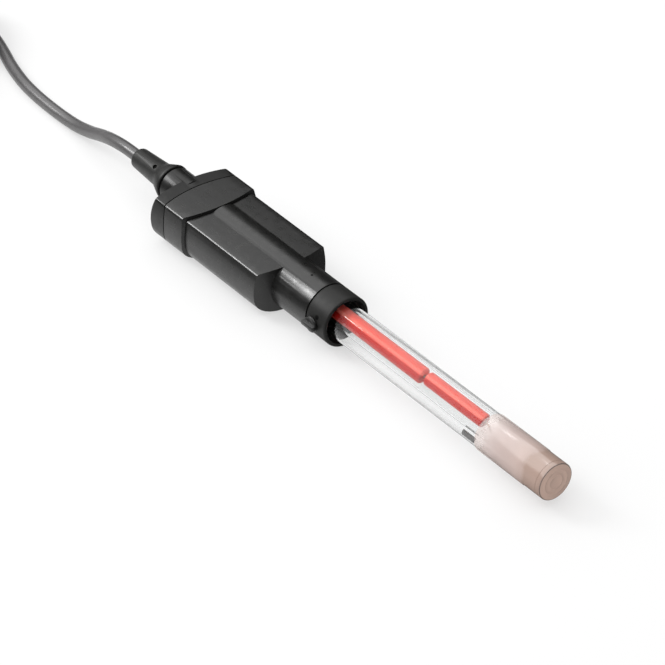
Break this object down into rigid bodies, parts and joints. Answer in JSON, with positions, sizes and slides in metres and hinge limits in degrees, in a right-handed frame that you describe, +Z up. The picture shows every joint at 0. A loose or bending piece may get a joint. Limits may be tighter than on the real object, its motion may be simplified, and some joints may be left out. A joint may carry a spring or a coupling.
{
  "type": "ph electrode",
  "caption": "Laboratory pH electrode: flat winged head on a cable, clear glass shaft with a reference rod inside, and a soft cap over the tip.",
  "frame": {"origin": "on the floor under the middle of the electrode's length, without its free cable", "axes": "+X along the electrode to the glass tip, +Z up from the flat belly of the head"},
  "size_m": [0.3491, 0.0504, 0.0273],
  "materials": {
    "black_plastic": "satin black moulded plastic",
    "soft_black_rubber": "matt black rubber",
    "cable_jacket": "dark grey cable jacket",
    "clear_glass": "clear drawn glass",
    "membrane_glass": "thin sensing glass",
    "red_glass": "red glass, fire polished",
    "plated_wire": "darkened silver wire",
    "nickel": "bright nickel",
    "board_laminate": "green board laminate",
    "chip_resin": "black resin",
    "porous_ceramic": "grey porous ceramic",
    "cap_rubber": "thin translucent rubber",
    "insert_plastic": "black insulating plastic"
  },
  "bodies": {
    "electrode": {"head_body": "black_plastic", "head_band": "black_plastic", "rear_cover": "black_plastic", "cable_boot": "soft_black_rubber", "cable_core": "cable_jacket", "cable_crimp": "nickel", "circuit_board": "board_laminate", "amplifier_chip": "chip_resin", "memory_chip": "chip_resin", "regulator_chip": "chip_resin", "board_contacts": "nickel", "glass_lead": "nickel", "reference_lead": "nickel", "shaft_collar": "soft_black_rubber", "shaft_glass": "clear_glass", "inner_stem": "clear_glass", "sensing_bulb": "membrane_glass", "upper_red_rod": "red_glass", "lower_red_rod": "red_glass", "upper_silver_wire": "plated_wire", "lower_silver_wire": "plated_wire", "junction_pin": "porous_ceramic", "stem_plug": "soft_black_rubber", "cable_run": "cable_jacket", "cable_coil": "cable_jacket", "cable_tail": "cable_jacket", "plug_grip": "black_plastic", "plug_boot": "black_plastic", "plug_sleeve": "nickel", "plug_insert": "insert_plastic", "plug_pin_1": "nickel", "plug_pin_2": "nickel", "plug_pin_3": "nickel", "plug_pin_4": "nickel", "plug_pin_5": "nickel"},
    "tip_cap": {"tip_cap": "cap_rubber"},
    "stopper": {"filling_stopper": "soft_black_rubber"}
  },
  "joints": [
    {"name": "tip_cap_pull", "type": "slide", "parent": "electrode", "child": "tip_cap", "axis": [1, 0, 0], "range_m": [0, 0.035]},
    {"name": "stopper_pull", "type": "slide", "parent": "electrode", "child": "stopper", "axis": [0, -1, 0], "range_m": [0, 0.008]}
  ]
}
